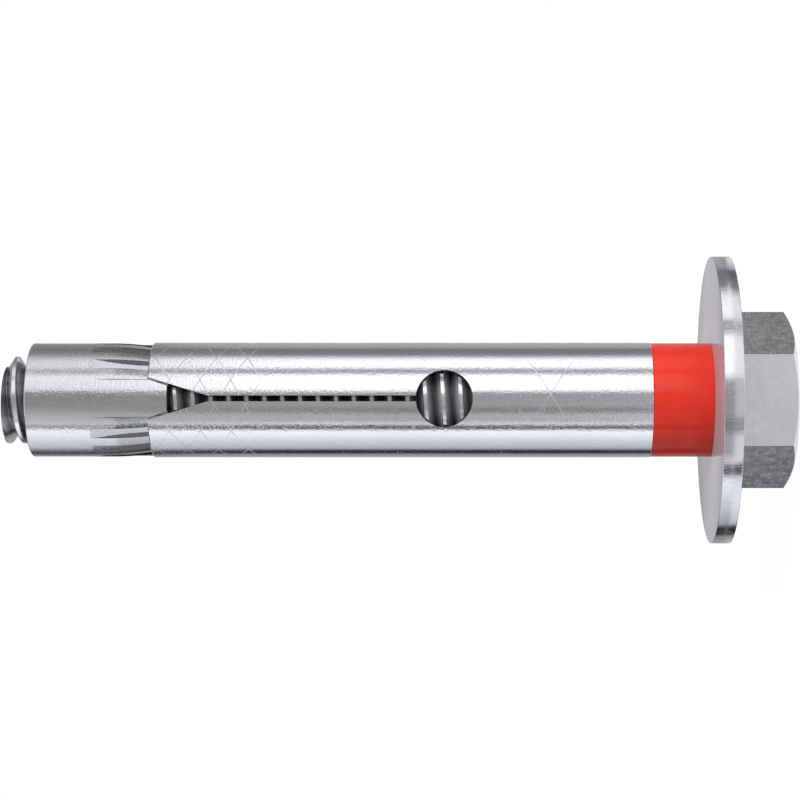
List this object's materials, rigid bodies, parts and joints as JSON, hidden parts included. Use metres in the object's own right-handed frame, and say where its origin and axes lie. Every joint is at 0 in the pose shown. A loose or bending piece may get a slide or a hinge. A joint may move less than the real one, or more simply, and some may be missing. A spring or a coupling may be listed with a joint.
{
  "type": "sleeve anchor",
  "caption": "Sleeve anchor for a drilled hole: hex bolt with wide washer, red crush ring, slotted expansion sleeve and ribbed cone nut.",
  "frame": {"origin": "centre of the bolt head's end face, on which the anchor stands", "axes": "+Z along the bolt from the head to the tip; two flats of the head face -Y and +Y, and the sleeve's first slot faces -Y"},
  "size_m": [0.03, 0.03, 0.0818],
  "materials": {
    "bolt_steel": "zinc plated, fine scratches",
    "washer_steel": "zinc plated, bright, fine scratches",
    "red_plastic": "moulded, satin",
    "sleeve_steel": "bright, drawn lengthways, with scribed crossing lines",
    "cone_steel": "bright, turned"
  },
  "bodies": {
    "bolt": {"hex_bolt": "bolt_steel"},
    "washer": {"flat_washer": "washer_steel"},
    "ring": {"crush_ring": "red_plastic"},
    "sleeve": {"expansion_sleeve": "sleeve_steel"},
    "cone": {"cone_nut": "cone_steel"}
  },
  "joints": [
    {"name": "washer_spin", "type": "hinge", "parent": "bolt", "child": "washer", "pos_m": [0, 0, 0.0074], "axis": [0, 0, 1], "continuous": true},
    {"name": "ring_spin", "type": "hinge", "parent": "bolt", "child": "ring", "pos_m": [0, 0, 0.0115], "axis": [0, 0, 1], "continuous": true},
    {"name": "sleeve_turn", "type": "hinge", "parent": "bolt", "child": "sleeve", "pos_m": [0, 0, 0.04055], "axis": [0, 0, 1], "range_deg": [0, 360]},
    {"name": "cone_travel", "type": "slide", "parent": "sleeve", "child": "cone", "axis": [0, 0, 1], "range_m": [0, 0.00184]}
  ],
  "couplings": [
    {"joint": "cone_travel", "follows": "sleeve_turn", "m_per_rad": 0.00029284}
  ]
}
